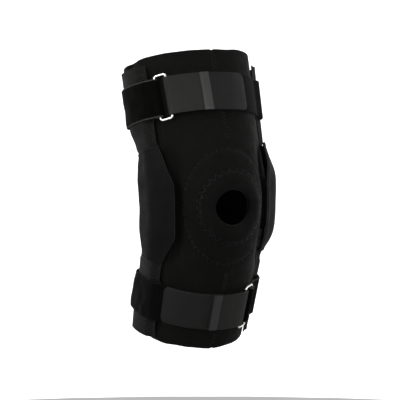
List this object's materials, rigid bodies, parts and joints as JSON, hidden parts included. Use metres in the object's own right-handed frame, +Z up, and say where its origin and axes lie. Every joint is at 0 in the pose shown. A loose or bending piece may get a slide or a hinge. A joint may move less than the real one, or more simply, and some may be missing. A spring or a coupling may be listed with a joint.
{
  "type": "hinged knee brace",
  "caption": "Neoprene knee sleeve with an open kneecap, geared side hinges under padded covers and two cinch straps through wire rings; it bends with the knee.",
  "frame": {"origin": "middle of the knee, halfway between the four hinge pivots", "axes": "+Z up along the hinge plates, -Y out through the kneecap opening, +X to the viewer's right when facing it; the four pivots' axes run along X"},
  "size_m": [0.1502, 0.1648, 0.307],
  "materials": {
    "neoprene": "nylon jersey on neoprene, matt",
    "stretch": "stretch nylon jersey on neoprene, matt",
    "buttress": "jersey-covered foam, matt",
    "cover": "jersey on thick neoprene, matt",
    "webbing": "ribbed woven webbing",
    "elastic": "knitted elastic, matt",
    "strap_base": "brushed loop webbing",
    "strap_tail": "smooth close-woven webbing",
    "hook_tab": "smooth back of hook tape",
    "band": "welded band, semi-gloss",
    "steel_bar": "brushed",
    "steel_plate": "brushed",
    "rivet": "satin",
    "wire": "bright nickel plate",
    "foam_pad": "closed-cell foam",
    "plastic_tip": "dipped vinyl"
  },
  "bodies": {
    "thigh": {"thigh_sleeve": "neoprene", "thigh_bar_tips": "plastic_tip", "left_thigh_bar": "steel_bar", "right_thigh_bar": "steel_bar", "left_thigh_pocket": "webbing", "right_thigh_pocket": "webbing", "upper_gusset": "stretch", "thigh_strap_elastic": "elastic", "thigh_strap_ring": "wire", "thigh_strap_base": "strap_base", "thigh_strap_fold": "strap_tail"},
    "hinge_right": {"right_inner_plate": "steel_plate", "right_outer_plate": "steel_plate", "right_rivets": "rivet", "right_condyle_pad": "foam_pad", "right_hinge_cover": "cover", "knee_panel": "neoprene", "patella_ring": "buttress", "popliteal_panel": "stretch"},
    "hinge_left": {"left_inner_plate": "steel_plate", "left_outer_plate": "steel_plate", "left_rivets": "rivet", "left_condyle_pad": "foam_pad", "left_hinge_cover": "cover"},
    "calf": {"calf_sleeve": "neoprene", "calf_bar_tips": "plastic_tip", "left_calf_bar": "steel_bar", "right_calf_bar": "steel_bar", "left_calf_pocket": "webbing", "right_calf_pocket": "webbing", "lower_gusset": "stretch", "calf_strap_elastic": "elastic", "calf_strap_ring": "wire", "calf_strap_base": "strap_base", "calf_strap_fold": "strap_tail"},
    "thigh_tail": {"thigh_strap_tail": "strap_tail", "thigh_strap_tab": "hook_tab", "thigh_strap_band": "band"},
    "calf_tail": {"calf_strap_tail": "strap_tail", "calf_strap_tab": "hook_tab", "calf_strap_band": "band"}
  },
  "joints": [
    {"name": "knee_upper", "type": "hinge", "parent": "thigh", "child": "hinge_right", "pos_m": [0, -0.00464, 0.009], "axis": [1, 0, 0], "range_deg": [-16, 38], "stiffness_Nm_per_rad": 0.6, "deforming": ["upper_gusset", "popliteal_panel", "right_hinge_cover"]},
    {"name": "knee_lower", "type": "hinge", "parent": "hinge_right", "child": "calf", "pos_m": [0, -0.00464, -0.009], "axis": [1, 0, 0], "range_deg": [-16, 38], "stiffness_Nm_per_rad": 0.6, "deforming": ["lower_gusset"]},
    {"name": "left_plates", "type": "hinge", "parent": "thigh", "child": "hinge_left", "pos_m": [0, -0.00464, 0.009], "axis": [1, 0, 0], "range_deg": [-16, 38], "deforming": ["left_hinge_cover"]},
    {"name": "thigh_strap_peel", "type": "hinge", "parent": "thigh", "child": "thigh_tail", "pos_m": [-0.04895, -0.01586, 0.11242], "axis": [0.0282, -0.3164, -0.9482], "range_deg": [0, 75], "deforming": ["thigh_strap_fold"]},
    {"name": "calf_strap_peel", "type": "hinge", "parent": "calf", "child": "calf_tail", "pos_m": [0.02918, -0.028, -0.1074], "axis": [0.0201, -0.3477, 0.9374], "range_deg": [0, 75], "deforming": ["calf_strap_fold"]}
  ],
  "couplings": [
    {"joint": "knee_lower", "follows": "knee_upper", "ratio": 1},
    {"joint": "left_plates", "follows": "knee_upper", "ratio": 1}
  ]
}
